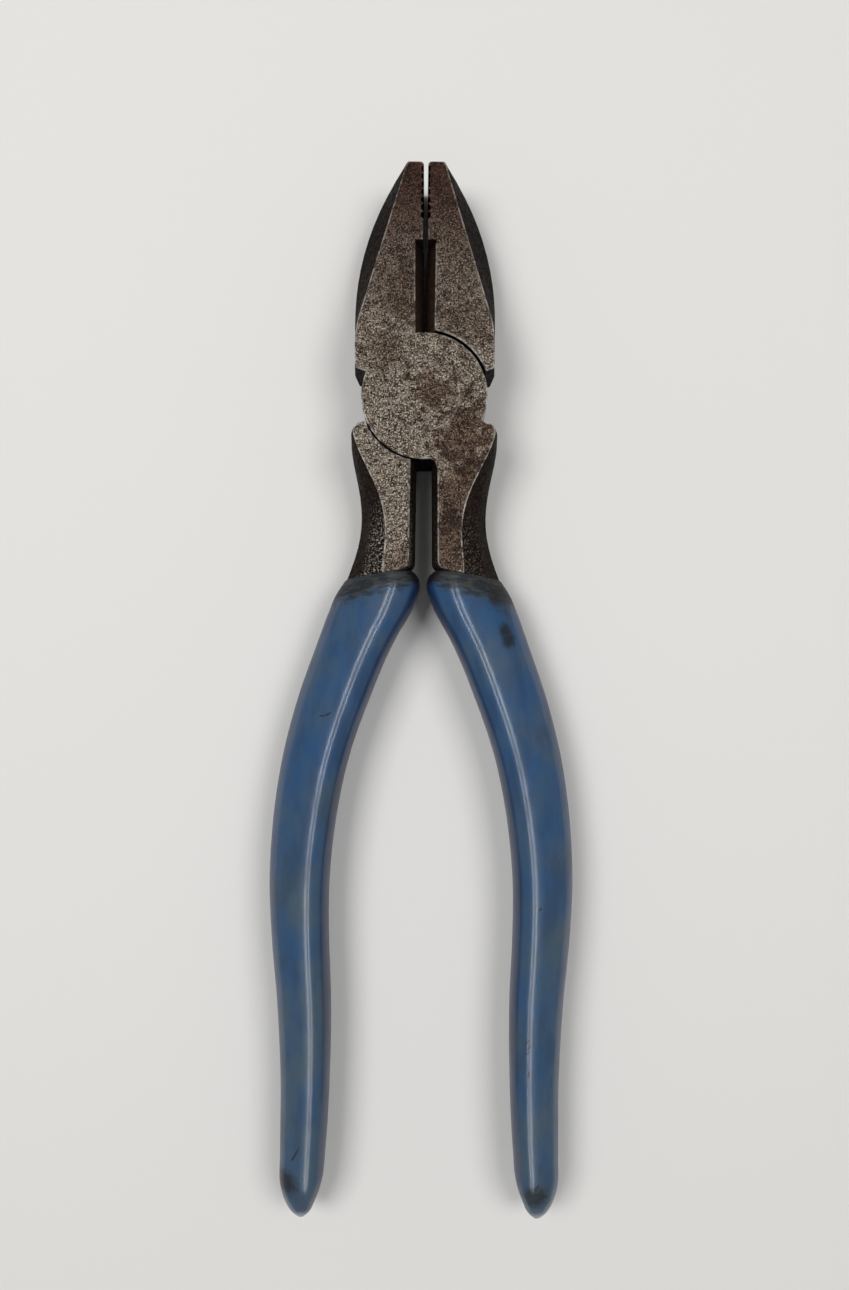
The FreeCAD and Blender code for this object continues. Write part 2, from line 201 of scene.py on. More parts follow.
class Effects:
    """The surface effects that several finishes share, each built once as a node group.

    The edges are the noise levels between which each mask eases from 0 to 1.
    """

    mottle: Edges = (0.55, 0.42)
    pits: Edges = (0.40, 0.34)
    specks: Edges = (0.53, 0.62)
    speck_fineness: float = 2.3
    speck_rise: float = 0.45
    patch: Edges = (1.0, 0.35)
    nick: Edges = (1.0, 0.3)
    film: Edges = (0.4, 0.66)
    cloud_share: float = 0.6
    smear_squeeze: Point = (1.0, 0.3, 1.0)

    def __init__(self) -> None:
        """Builds every group."""
        self.pitting_group = self.make_pitting()
        self.patch_group = self.make_patch()
        self.nick_group = self.make_nick()
        self.film_group = self.make_film()

    def make_pitting(self) -> bpy.types.NodeTree:
        """Mottle, pits and bright specks of etched steel.

        Mottle is middling noise eased about its middle, pits are where it falls lowest, and specks
        are where finer noise stands high. The height follows all three.

        Returns:
            A group from Place and Grain (features to the metre) to Mottle, Pits, Specks and Height.
        """
        graph, ins, outs = new_group(
            "pitting",
            {"Place": "Vector", "Grain": "Float"},
            {"Mottle": "Float", "Pits": "Float", "Specks": "Float", "Height": "Float"},
        )
        coarse = graph.noise(ins["Place"], ins["Grain"], 5.0, 0.72)
        fine = graph.noise(ins["Place"], graph.maths("MULTIPLY", ins["Grain"], self.speck_fineness), 2.0, 0.6)
        mottle = graph.smooth(coarse, *self.mottle)
        pits = graph.smooth(coarse, *self.pits)
        specks = graph.smooth(fine, *self.specks)
        rise = graph.maths("MULTIPLY", specks, self.speck_rise)
        graph.feed(outs["Mottle"], mottle)
        graph.feed(outs["Pits"], pits)
        graph.feed(outs["Specks"], specks)
        graph.feed(outs["Height"], graph.maths("SUBTRACT", rise, graph.maths("ADD", mottle, pits)))
        return graph.tree

    def make_patch(self) -> bpy.types.NodeTree:
        """A stain with a ragged edge: 1 near a centre, falling to 0 at a reach that noise bends.

        Returns:
            A group from Place, Centre, Reach, Ragged and Grain to Mask.
        """
        graph, ins, outs = new_group(
            "patch",
            {"Place": "Vector", "Centre": "Vector", "Reach": "Float", "Ragged": "Float", "Grain": "Float"},
            {"Mask": "Float"},
        )
        away = graph.add(
            "VectorMath", {0: ins["Place"], 1: ins["Centre"]}, operation="DISTANCE",
        ).outputs["Value"]
        share = graph.maths("DIVIDE", away, ins["Reach"])
        bend = graph.maths("SUBTRACT", graph.noise(ins["Place"], ins["Grain"], 4.0, 0.6), 0.5)
        bent = graph.maths("ADD", share, graph.maths("MULTIPLY", bend, ins["Ragged"]))
        graph.feed(outs["Mask"], graph.smooth(bent, *self.patch))
        return graph.tree

    def make_nick(self) -> bpy.types.NodeTree:
        """A short narrow cut seen from above: 1 inside a thin ellipse that lies along a heading.

        Returns:
            A group from Place, Centre, Heading, Long and Wide to Mask.
        """
        graph, ins, outs = new_group(
            "nick",
            {"Place": "Vector", "Centre": "Vector", "Heading": "Float", "Long": "Float", "Wide": "Float"},
            {"Mask": "Float"},
        )
        offset = graph.add("VectorMath", {0: ins["Place"], 1: ins["Centre"]}, operation="SUBTRACT").outputs[0]
        turned = graph.add(
            "VectorRotate",
            {"Vector": offset, "Angle": graph.maths("MULTIPLY", ins["Heading"], -1.0)},
            rotation_type="Z_AXIS",
        ).outputs[0]
        parts = graph.add("SeparateXYZ", {0: turned})
        along = graph.maths("DIVIDE", parts.outputs["X"], ins["Long"])
        across = graph.maths("DIVIDE", parts.outputs["Y"], ins["Wide"])
        reach = graph.maths("ADD", graph.maths("POWER", graph.maths("ABSOLUTE", along), 2.0),
                            graph.maths("POWER", graph.maths("ABSOLUTE", across), 2.0))
        graph.feed(outs["Mask"], graph.smooth(reach, *self.nick))
        return graph.tree

    def make_film(self) -> bpy.types.NodeTree:
        """A handled, cloudy film: broad cloud with finer smears drawn out along Y.

        Returns:
            A group from Place, Cloud and Smear (features to the metre) to Mask and Height.
        """
        graph, ins, outs = new_group(
            "film",
            {"Place": "Vector", "Cloud": "Float", "Smear": "Float"},
            {"Mask": "Float", "Height": "Float"},
        )
        drawn = graph.add(
            "VectorMath", {0: ins["Place"], 1: self.smear_squeeze}, operation="MULTIPLY",
        ).outputs[0]
        cloud = graph.noise(ins["Place"], ins["Cloud"], 4.0, 0.55)
        smear = graph.noise(drawn, ins["Smear"], 4.0, 0.6)
        both = graph.maths("ADD", graph.maths("MULTIPLY", cloud, self.cloud_share),
                           graph.maths("MULTIPLY", smear, 1.0 - self.cloud_share))
        graph.feed(outs["Mask"], graph.smooth(both, *self.film))
        graph.feed(outs["Height"], smear)
        return graph.tree


def new_material(name: str) -> tuple[bpy.types.Material, Graph, bpy.types.Node]:
    """Starts a material with one Principled shader.

    Args:
        name: the material's name.

    Returns:
        The material, its graph and its shader node.
    """
    material = bpy.data.materials.new(name)
    material.use_nodes = True
    graph = Graph(material.node_tree)
    return material, graph, material.node_tree.nodes["Principled BSDF"]


# ------------------------------------------------------------------ finishes


@dataclass(frozen=True)
class Stain:
    """A darker place on a surface: its centre, reach, depth of colour and raggedness of edge."""

    centre: Point
    reach: float
    depth: float
    ragged: float = 0.9


@dataclass(frozen=True)
class SteelFinish:
    """Bare forged steel with mottle, pits, specks, stains and a darker nose.

    Grains are features to the metre. The spill is bare steel that shows past the flat faces, and
    its edges are heights from the mid-plane, then places along Y and X.
    """

    name: str
    base: Colour
    dark: Colour
    pit: Colour
    speck: Colour
    metallic: float
    roughness: float
    grain: float
    speck_share: float
    bump: float
    blotch: float = 0.7
    specular: float = 0.5
    spill: Colour | None = None
    stains: tuple[Stain, ...] = ()
    stain_tint: Colour = (0.38, 0.255, 0.19)
    nose_tint: Colour = (0.20, 0.082, 0.046)
    nose: Edges = (4 * MM, 52 * MM)
    tone_grain: float = 420.0
    tone: Edges = (0.56, 0.42)
    stain_grain: float = 420.0
    mottle_roughness: float = 0.2
    relief: float = 0.06 * MM
    spill_depth: Edges = (3.6 * MM, 7.4 * MM)
    spill_start: Edges = (-20 * MM, -33 * MM)
    spill_sides: Edges = (4 * MM, -4 * MM)
    spill_least: float = 0.25

    def build(self, effects: Effects) -> bpy.types.Material:
        """Makes the material.

        Args:
            effects: the shared node groups.

        Returns:
            The steel material.
        """
        material, graph, shader = new_material(self.name)
        place = graph.here()
        parts = graph.add("SeparateXYZ", {0: place}).outputs
        pitting = graph.use(effects.pitting_group, Place=place, Grain=self.grain).outputs
        tone = graph.smooth(graph.noise(place, self.tone_grain, 6.0, 0.75), *self.tone)
        shade = graph.blend(graph.maths("MULTIPLY", tone, self.blotch), self.base, self.dark)
        shade = graph.blend(pitting["Mottle"], shade, self.dark)
        shade = graph.blend(graph.maths("MULTIPLY", pitting["Specks"], self.speck_share), shade, self.speck)
        if self.spill:
            shade = graph.blend(self.spilled(graph, parts, pitting["Specks"]), shade, self.spill)
        shade = graph.blend(pitting["Pits"], shade, self.pit)
        nose = graph.smooth(parts["Y"], *self.nose)
        shade = graph.blend(nose, shade, graph.blend(1.0, shade, self.nose_tint, "MULTIPLY"))
        for stain in self.stains:
            mask = graph.use(effects.patch_group, Place=place, Centre=stain.centre, Reach=stain.reach,
                             Ragged=stain.ragged, Grain=self.stain_grain).outputs[0]
            stained = graph.blend(1.0, shade, self.stain_tint, "MULTIPLY")
            shade = graph.blend(graph.maths("MULTIPLY", mask, stain.depth), shade, stained)
        graph.feed(shader.inputs["Base Color"], shade)
        rough = graph.maths("MULTIPLY", pitting["Mottle"], self.mottle_roughness)
        graph.feed(shader.inputs["Roughness"], graph.maths("ADD", rough, self.roughness, clamp=True))
        shader.inputs["Metallic"].default_value = self.metallic
        shader.inputs["Specular IOR Level"].default_value = self.specular
        relief = graph.add(
            "Bump", {"Strength": self.bump, "Distance": self.relief, "Height": pitting["Height"]},
        )
        graph.feed(shader.inputs["Normal"], relief.outputs[0])
        return material

    def spilled(self, graph: Graph, parts: bpy.types.NodeOutputs, specks: Feed) -> bpy.types.NodeSocket:
        """Where grinding specks spill past the flat faces near the collars, mostly on the left.

        Args:
            graph: the material's graph.
            parts: the place's X, Y and Z.
            specks: the speck mask.

        Returns:
            The share of bare steel showing.
        """
        from_middle = graph.maths("ABSOLUTE", graph.maths("SUBTRACT", parts["Z"], HEAD_THICKNESS / 2))
        near_face = graph.smooth(from_middle, *self.spill_depth)
        near_collar = graph.smooth(parts["Y"], *self.spill_start)
        leftwards = graph.maths(
            "MULTIPLY", graph.smooth(parts["X"], *self.spill_sides), 1.0 - self.spill_least,
        )
        sided = graph.maths("ADD", leftwards, self.spill_least)
        both = graph.maths("MULTIPLY", graph.maths("MULTIPLY", near_face, near_collar), sided)
        return graph.maths("MULTIPLY", both, specks)


@dataclass(frozen=True)
class Nick:
    """A small cut in a dip, by its centre, heading in radians, and half length and width."""

    centre: Point
    heading: float
    long: float
    wide: float


@dataclass(frozen=True)
class DipFinish:
    """Glossy dipped plastic, handled and dirty, with a grimy collar and painted shade on its sides.

    The collar's edges are shares of its reach, the outer side's edges are distances from the
    centre plane, the top's edges are how far a surface faces up or down, and the wear's edges are
    places along Y. The collar's Y is where it meets the centre plane.
    """

    name: str
    blue: Colour = (0.015, 0.067, 0.170)
    faded: Colour = (0.050, 0.085, 0.118)
    grime: Colour = (0.036, 0.036, 0.027)
    soot: Colour = (0.014, 0.014, 0.013)
    # painted shade: the tint that darkens the colour of the sides
    painted_side_shade: Colour = (0.50, 0.42, 0.58)
    cloud: float = 0.75
    smear: float = 0.26
    roughness: float = 0.29
    grimy_roughness: float = 0.55
    gloss_roughness: float = 0.13
    specular: float = 0.32
    collar: float = -38.0 * MM
    collar_slant: float = 0.167
    collar_reach: float = 4.0 * MM
    outer_reach: float = 1.6 * MM
    outer_side: Edges = (6 * MM, 18 * MM)
    collar_ragged: float = 1.1
    ragged_grain: float = 300.0
    collar_streaks: float = 1.0
    streak_grain: float = 900.0
    streak_squeeze: float = 0.3
    collar_edge: Edges = (1.2, 0.5)
    collar_cover: float = 0.92
    creases: Edges = (0.54, 0.44)
    crease_depth: float = 0.5
    top: Edges = (0.25, 0.9)
    wear: Edges = (-60 * MM, -150 * MM)
    wear_share: float = 0.3
    cloud_grain: float = 95.0
    smear_grain: float = 230.0
    smeared: Edges = (0.52, 0.38)
    smudge_grain: float = 900.0
    cut_dirt: float = 0.8
    cloud_roughness: float = 0.08
    dulling: float = 0.95
    smear_height: float = 0.25
    bump: float = 0.35
    relief: float = 0.12 * MM
    side: Side = Side.LEFT
    nicks: tuple[Nick, ...] = ()
    smudges: tuple[Stain, ...] = ()

    def build(self, effects: Effects) -> bpy.types.Material:
        """Makes the material.

        Args:
            effects: the shared node groups.

        Returns:
            The dip material.
        """
        material, graph, shader = new_material(self.name)
        place = graph.here()
        parts = graph.add("SeparateXYZ", {0: place}).outputs
        film = graph.use(effects.film_group, Place=place, Cloud=self.cloud_grain,
                         Smear=self.smear_grain).outputs
        far_down = graph.maths("MULTIPLY", graph.smooth(parts["Y"], *self.wear), self.wear_share)
        worn = graph.maths("ADD", far_down, graph.maths("MULTIPLY", film["Mask"], self.cloud), clamp=True)
        shade = graph.blend(worn, self.blue, self.faded)
        smeared = graph.maths("MULTIPLY", graph.smooth(film["Height"], *self.smeared), self.smear)
        shade = graph.blend(smeared, shade, self.grime)
        dirt, wrinkles = self.collar_grime(graph, place, parts)
        soot: Feed = 0.0
        for smudge in self.smudges:
            mask = graph.use(effects.patch_group, Place=place, Centre=smudge.centre, Reach=smudge.reach,
                             Ragged=smudge.ragged, Grain=self.smudge_grain).outputs[0]
            soot = graph.maths("MAXIMUM", soot, graph.maths("MULTIPLY", mask, smudge.depth))
        cuts: Feed = 0.0
        for nick in self.nicks:
            mask = graph.use(effects.nick_group, Place=place, Centre=nick.centre, Heading=nick.heading,
                             Long=nick.long, Wide=nick.wide).outputs[0]
            cuts = graph.maths("MAXIMUM", cuts, mask)
        shade = graph.blend(dirt, shade, graph.blend(wrinkles, self.grime, self.soot))
        black = graph.maths("MAXIMUM", soot, graph.maths("MULTIPLY", cuts, self.cut_dirt))
        shade = graph.blend(black, shade, self.soot)
        # Painted shade: where a surface faces sideways rather than up, its colour is multiplied darker; the
        # same facing mask also limits the coat to the upward faces.
        facing = graph.add("SeparateXYZ", {0: graph.add("NewGeometry", {}).outputs["Normal"]}).outputs["Z"]
        upward_share = graph.smooth(graph.maths("ABSOLUTE", facing), *self.top)
        shade = graph.blend(upward_share, graph.blend(1.0, shade, self.painted_side_shade, "MULTIPLY"), shade)
        graph.feed(shader.inputs["Base Color"], shade)
        rough = graph.maths("MULTIPLY", dirt, self.grimy_roughness - self.roughness)
        cloudy = graph.maths("MULTIPLY", film["Mask"], self.cloud_roughness)
        rough = graph.maths("ADD", graph.maths("ADD", rough, cloudy), self.roughness)
        graph.feed(shader.inputs["Roughness"], rough)
        dull = graph.maths("MAXIMUM", graph.maths("MAXIMUM", dirt, soot), smeared)
        clean = graph.maths("SUBTRACT", 1.0, graph.maths("MULTIPLY", dull, self.dulling))
        graph.feed(shader.inputs["Coat Weight"], graph.maths("MULTIPLY", clean, upward_share))
        shader.inputs["Coat Roughness"].default_value = self.gloss_roughness
        shader.inputs["Specular IOR Level"].default_value = self.specular
        height = graph.maths("SUBTRACT", graph.maths("MULTIPLY", film["Height"], self.smear_height), cuts)
        creased = graph.maths("MULTIPLY", graph.maths("MULTIPLY", wrinkles, dirt), self.crease_depth)
        height = graph.maths("SUBTRACT", height, creased)
        relief = graph.add("Bump", {"Strength": self.bump, "Distance": self.relief, "Height": height})
        graph.feed(shader.inputs["Normal"], relief.outputs[0])
        return material

    def collar_grime(self, graph: Graph, place: Feed,
                     parts: bpy.types.NodeOutputs) -> tuple[bpy.types.NodeSocket, bpy.types.NodeSocket]:
        """Grime that is thick at the slanted collar, streaky below it and lower on the outer side.

        Args:
            graph: the material's graph.
            place: the place on the object.
            parts: its X, Y and Z.

        Returns:
            The grime's share, and the creases drawn along the collar within it.
        """
        outwards = graph.maths("MULTIPLY", parts["X"], float(self.side.value))
        slanted = graph.maths("ADD", parts["Y"], graph.maths("MULTIPLY", outwards, self.collar_slant))
        depth = graph.maths("SUBTRACT", self.collar, slanted)
        outer = graph.smooth(outwards, *self.outer_side)
        reach = graph.maths("ADD", graph.maths("MULTIPLY", outer, self.outer_reach), self.collar_reach)
        level = graph.add("CombineXYZ", {
            0: graph.maths("MULTIPLY", outwards, self.streak_squeeze),
            1: slanted,
            2: graph.maths("MULTIPLY", parts["Z"], self.streak_squeeze),
        }).outputs[0]
        streaks = graph.noise(level, self.streak_grain, 4.0, 0.6)
        ragged = graph.maths("SUBTRACT", graph.noise(place, self.ragged_grain, 4.0, 0.6), 0.5)
        bent = graph.maths("MULTIPLY", ragged, self.collar_ragged)
        streaked = graph.maths("MULTIPLY", graph.maths("SUBTRACT", streaks, 0.5), self.collar_streaks)
        share = graph.maths("ADD", graph.maths("ADD", graph.maths("DIVIDE", depth, reach), bent), streaked)
        grime = graph.maths("MULTIPLY", graph.smooth(share, *self.collar_edge), self.collar_cover)
        return grime, graph.smooth(streaks, *self.creases)


# ------------------------------------------------------------------ surfaces


def smooth_curve(knots: np.ndarray, values: np.ndarray, at: np.ndarray) -> np.ndarray:
    """A smooth line through given points.

    Between two knots the value is the cubic that has the knots' values and, at each, the slope of
    the line through its two neighbours.

    Args:
        knots: where the points are, rising.
        values: the value at each.
        at: where the line is wanted.

    Returns:
        The line's values.
    """
    slopes = np.gradient(values, knots)
    index = np.clip(np.searchsorted(knots, at) - 1, 0, len(knots) - 2)
    span = knots[index + 1] - knots[index]
    part = (at - knots[index]) / span
    start, end = values[index], values[index + 1]
    rise, fall = slopes[index] * span, slopes[index + 1] * span
    square, cube = part**2, part**3
    return (start * (2 * cube - 3 * square + 1) + rise * (cube - 2 * square + part)
            + end * (3 * square - 2 * cube) + fall * (cube - square))


def grid_mesh(name: str, points: np.ndarray) -> bpy.types.Mesh:
    """A closed mesh from rings of points, the first and last of which are poles.

    Quads join each ring to the next and each pole's ring is a single vertex joined by triangles.
    The rings run so that the faces point outwards.

    Args:
        name: the mesh's name.
        points: rings by points by XYZ; the first and last rings hold one repeated point.

    Returns:
        The mesh.
    """
    rings, around, _ = points.shape
    middle = points[1:-1].reshape(-1, 3)
    vertices = np.vstack([points[0, :1], middle, points[-1, :1]])
    step = np.arange(around)
    following = (step + 1) % around
    starts = 1 + np.arange(rings - 3)[:, None] * around
    quads = np.stack([starts + step, starts + following, starts + around + following, starts + around + step],
                     axis=-1).reshape(-1, 4)
    last_ring = 1 + (rings - 3) * around
    end = len(vertices) - 1
    first_fan = np.stack([np.zeros_like(step), 1 + following, 1 + step], axis=-1)
    last_fan = np.stack([np.full_like(step, end), last_ring + step, last_ring + following], axis=-1)
    mesh = bpy.data.meshes.new(name)
    mesh.from_pydata(vertices.tolist(), [], quads.tolist() + first_fan.tolist() + last_fan.tolist())
    mesh.update()
    form = bmesh.new()
    form.from_mesh(mesh)
    bmesh.ops.recalc_face_normals(form, faces=form.faces)
    form.to_mesh(mesh)
    form.free()
    mesh.shade_smooth()
    return mesh


def place_piece(name: str, mesh: bpy.types.Mesh, body: str, node: str) -> bpy.types.Object:
    """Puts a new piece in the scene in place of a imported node.

    Args:
        name: the piece's name.
        mesh: its mesh, already in the model's frame.
        body: the body it rides on.
        node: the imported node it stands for.

    Returns:
        The piece.
    """
    piece = bpy.data.objects.new(name, mesh)
    bpy.context.scene.collection.objects.link(piece)
    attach(piece, body)
    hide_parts(node)
    log.info("%s: %d faces on %s", name, len(mesh.polygons), body)
    return piece


# ------------------------------------------------------------------ sub-assemblies


@dataclass
class SteelPiece:
    """A jaw half or the rivet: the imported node's own shape, merged and finished face by face."""

    node: str
    body: str
    slot: str
    bevel: float = 0.3 * MM
    bevel_slope: float = 0.3
    flat: float = 0.02 * MM
    flat_slope: float = 0.98
    merge: float = 0.0008 * MM
    crease: float = math.radians(28)
    knife_reach: float = 2.8 * MM
    knife_start: float = 14 * MM
    knife_end: float = 34.6 * MM

    def build(self) -> bpy.types.Mesh:
        """Copies the node's mesh and merges its loose triangles.

        Returns:
            A mesh with shared corners, shaded smooth except across creases.
        """
        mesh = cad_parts[self.node].data.copy()
        mesh.name = self.node + "_worn"
        form = bmesh.new()
        form.from_mesh(mesh)
        bmesh.ops.remove_doubles(form, verts=form.verts, dist=self.merge)
        form.to_mesh(mesh)
        form.free()
        if "custom_normal" in mesh.attributes:
            mesh.attributes.remove(mesh.attributes["custom_normal"])
        mesh.shade_smooth()
        mesh.set_sharp_from_angle(angle=self.crease)
        return mesh

    def zones(self, mesh: bpy.types.Mesh) -> np.ndarray:
        """How each face was left.

        A face is ground if it lies flat in a face of the head, bevelled if it slopes within a bevel
        of one, cut as a knife beside the middle of the jaws, and forged otherwise.

        Args:
            mesh: the merged mesh.

        Returns:
            A zone's number for each face.
        """
        count = len(mesh.polygons)
        normals = np.empty(count * 3)
        centres = np.empty(count * 3)
        mesh.polygons.foreach_get("normal", normals)
        mesh.polygons.foreach_get("center", centres)
        upright = np.abs(normals.reshape(-1, 3)[:, 2])
        x, y, height = centres.reshape(-1, 3).T
        from_face = np.minimum(np.abs(height), np.abs(HEAD_THICKNESS - height))
        zones = np.full(count, Zone.FORGED.value)
        beside_knives = (np.abs(x) < self.knife_reach) & (y > self.knife_start) & (y < self.knife_end)
        zones[beside_knives] = Zone.KNIFE.value
        zones[(from_face < self.bevel) & (upright > self.bevel_slope)] = Zone.BEVEL.value
        zones[(from_face < self.flat) & (upright > self.flat_slope)] = Zone.GROUND.value
        return zones

    def dress(self, finishes: dict[Zone, bpy.types.Material]) -> bpy.types.Object:
        """Builds the piece and gives each face its finish.

        Args:
            finishes: the material for each zone.

        Returns:
            The finished piece.
        """
        mesh = self.build()
        mesh.materials.clear()
        for zone in Zone:
            mesh.materials.append(finishes[zone])
        mesh.polygons.foreach_set("material_index", self.zones(mesh).astype(np.int32))
        mesh.update()
        return place_piece(self.node + "_worn", mesh, self.body, self.node)


@dataclass
class DippedGrip:
    """One dipped handle: a closed sleeve from deep inside its mouth, over its lip, to the end.

    Sizes are in millimetres for the left-hand one drawn shut. The tuples hold, for each share of
    the way down, the inner edge between its nearest and widest places, and the width and height
    as parts of the largest. The rows of the sleeve are fine at the mouth, for its rings, coarse
    along the handle and closer again at the end.
    """

    node: str
    body: str
    side: Side
    seed: float
    rest_swing: float = 0.5
    collar: float = 39.35
    length: float = 146.85
    nearest: float = 0.38
    spread: float = 20.05
    full_width: float = 19.4
    full_height: float = 15.6
    wall: float = 1.45
    wall_at_mouth: float = 0.35
    wall_grows: float = 0.021
    slant: float = 0.167
    slant_length: float = 0.1
    ridge: tuple[float, float] = (0.34, 0.14)
    power: tuple[float, float] = (2.1, 2.6)
    share: tuple[float, ...] = (0.0, 0.009, 0.021, 0.05, 0.1, 0.19, 0.28, 0.38, 0.475, 0.57, 0.66, 0.785,
                                0.9, 0.945, 0.97, 0.987, 1.0)
    inner: tuple[float, ...] = (0.105, 0.029, 0.0, 0.062, 0.278, 0.56, 0.786, 0.934, 1.0, 0.995, 0.962,
                                0.962, 1.0, 1.033, 1.097, 1.155, 1.241)
    width: tuple[float, ...] = (0.771, 0.897, 0.979, 1.0, 0.902, 0.845, 0.784, 0.737, 0.701, 0.665, 0.629,
                                0.572, 0.526, 0.485, 0.366, 0.237, 0.062)
    height: tuple[float, ...] = (0.974, 0.994, 1.0, 0.987, 0.962, 0.936, 0.91, 0.885, 0.865, 0.846, 0.821,
                                 0.782, 0.718, 0.654, 0.506, 0.333, 0.09)
    around: int = 160
    ring_pitch: float = 0.85
    ring_height: float = 0.08
    ring_reach: float = 3.4
    ring_wander: tuple[float, float] = (0.9, 0.6)
    sag: float = 0.05
    shrink: float = 0.02
    inner_depth: float = 110.0
    inner_rows: int = 24
    mouth_depth: float = 4.5
    mouth_rows: int = 12
    lip_rows: int = 7
    fine_depth: float = 9.0
    fine_step: float = 0.13
    coarse_start: float = 9.9
    coarse_step: float = 1.1
    end_start: float = 136.5
    end_stop: float = 0.3
    end_rows: int = 22
    row_join: float = 0.5

    def section(self, down: np.ndarray, angle: np.ndarray, inset: np.ndarray) -> np.ndarray:
        """Points on rounded sections across the handle.

        The section is a superellipse, |a|^p + |u|^p = 1, sheared sideways by r(1 - a^2) so that
        its ridge stands r half-widths inwards; p and r ease from collar to end. Near the collar
        the sections slant, with their outer side lower.

        Args:
            down: share of the way from collar to end for each row.
            angle: angle round the section for each column.
            inset: how far inside the outer surface each point lies.

        Returns:
            Rows by columns by XYZ in millimetres.
        """
        knots = np.array(self.share)
        bow = smooth_curve(knots, np.array(self.inner), down)[:, None]
        inner = self.nearest + bow * (self.spread - self.nearest)
        full_half = smooth_curve(knots, np.array(self.width), down)[:, None] * self.full_width / 2
        half_width = np.maximum(full_half - inset, 0)
        half_height = smooth_curve(knots, np.array(self.height), down)[:, None] * self.full_height / 2 - inset
        power = 2 / np.interp(down, [0, 1], self.power)[:, None]
        ridge = np.interp(down, [0, 1], self.ridge)[:, None]
        slant = self.slant * np.clip(1 - down / self.slant_length, 0, 1)[:, None]
        cosine, sine = np.cos(angle)[None, :], np.sin(angle)[None, :]
        across = np.sign(cosine) * np.abs(cosine) ** power
        upward = np.sign(sine) * np.abs(sine) ** power
        sideways = half_width * (across + ridge * (1 - across**2))
        x = sideways - inner - full_half
        z = HEAD_THICKNESS / MM / 2 + np.maximum(half_height, 0) * upward
        y = -self.collar - self.length * down[:, None] + slant * sideways
        return np.stack([x, y, z], axis=-1)

    def build(self) -> bpy.types.Mesh:
        """The sleeve's mesh.

        Rows go up the inner wall to the mouth, round a half-circle lip, and down the outside to
        the end. Below the mouth the outside has shallow rings, a sine of the depth and of the
        angle round, whose height fades away.

        Returns:
            A closed mesh in the model's frame, in metres.
        """
        angle = np.linspace(0, 2 * np.pi, self.around, endpoint=False)
        rolled = self.wall_at_mouth / 2
        inside = np.concatenate([np.linspace(self.inner_depth, self.mouth_depth, self.inner_rows),
                                 np.linspace(self.mouth_depth - self.row_join, rolled, self.mouth_rows)])
        lip = np.linspace(0.0, np.pi, self.lip_rows)[1:-1]
        fine = np.arange(0.0, self.fine_depth, self.fine_step)
        coarse = np.arange(self.coarse_start, self.end_start - self.row_join, self.coarse_step)
        end_length = self.length - self.end_stop - self.end_start
        near_end = self.end_start + end_length * np.sin(np.linspace(0, np.pi / 2, self.end_rows))

        depth = np.concatenate([inside, rolled * (1 - np.sin(lip)), rolled + fine, coarse, near_end])
        outer_rows = len(fine) + len(coarse) + len(near_end)
        wall = np.interp(inside, [0, self.wall_grows * self.length], [self.wall_at_mouth, self.wall])
        inset_row = np.concatenate([wall, rolled * (1 + np.cos(lip)), np.zeros(outer_rows)])
        below_lip = np.full(len(depth), self.length)
        below_lip[-outer_rows:] = depth[-outer_rows:]
        broad, close = self.ring_wander
        wander = broad * np.sin(2 * angle + self.seed) + close * np.sin(3 * angle - 2.1 * self.seed)
        rings = np.sin(2 * np.pi * below_lip[:, None] / self.ring_pitch + wander[None, :])
        fading = np.exp(-(below_lip / self.ring_reach) ** 2)[:, None]
        inset = inset_row[:, None] + self.shrink + self.ring_height * (1 + rings) * fading / 2
        points = self.section(np.clip((depth + self.sag) / self.length, 0, 1), angle, inset)

        points = np.concatenate([points[:1].mean(axis=1, keepdims=True).repeat(self.around, axis=1), points,
                                 points[-1:].mean(axis=1, keepdims=True).repeat(self.around, axis=1)])
        if self.side is Side.RIGHT:
            points = points * np.array([-1, 1, -1]) + np.array([0, 0, HEAD_THICKNESS / MM])
        swing = math.radians(self.rest_swing) * self.side.value
        turn = np.array([
            [math.cos(swing), -math.sin(swing), 0], [math.sin(swing), math.cos(swing), 0], [0, 0, 1],
        ])
        return grid_mesh(self.node + "_dip", points @ turn.T * MM)

    def dress(self, finish: bpy.types.Material) -> bpy.types.Object:
        """Builds the sleeve and gives it its finish.

        Args:
            finish: the dip material.

        Returns:
            The finished piece.
        """
        mesh = self.build()
        mesh.materials.append(finish)
        return place_piece(self.node + "_dip", mesh, self.body, self.node)


@dataclass(frozen=True)
class Lamp:
    """A rectangular lamp.

    A glossy lamp faces straight down and shows only in reflections; any other faces the pliers
    and only lights their surfaces.
    """

    name: str
    place: Point
    size: tuple[float, float]
    power: float
    glossy: bool


